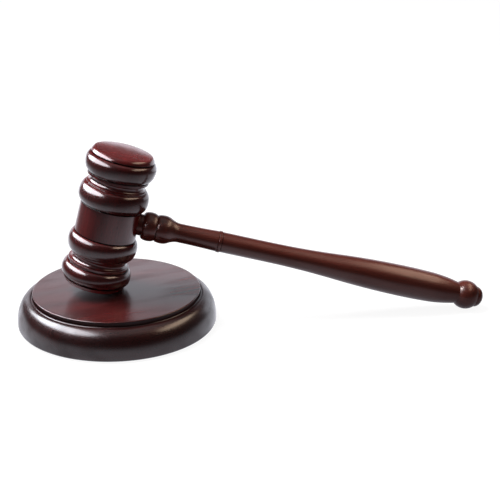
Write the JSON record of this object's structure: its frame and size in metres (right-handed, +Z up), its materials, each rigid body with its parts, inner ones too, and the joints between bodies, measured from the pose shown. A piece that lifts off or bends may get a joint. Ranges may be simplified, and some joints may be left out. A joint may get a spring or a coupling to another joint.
{
  "type": "gavel",
  "caption": "Turned wooden gavel resting on its round sound block: beaded head, swelling handle, raised striking plate and felt underside.",
  "frame": {"origin": "centre of the sound block's underside, on the felt, which is the level of the table", "axes": "+Z up, +X along the table from the block's centre towards the butt of the handle, +Y away from the viewer of the picture"},
  "size_m": [0.2734, 0.114, 0.1054],
  "materials": {
    "block_wood": "dark red-brown stain under gloss lacquer",
    "felt": "short black felt",
    "head_wood": "dark red-brown stain under high-gloss lacquer",
    "handle_wood": "dark red-brown stain under satin lacquer"
  },
  "bodies": {
    "sound_block": {"sound_block": "block_wood", "base_felt": "felt"},
    "gavel": {"gavel_head": "head_wood", "gavel_handle": "handle_wood"}
  },
  "joints": [
    {"name": "strike_swing", "type": "hinge", "parent": "sound_block", "child": "gavel", "pos_m": [0.21159, 0, 0.00722], "axis": [0, 1, 0], "range_deg": [0, 60]}
  ]
}
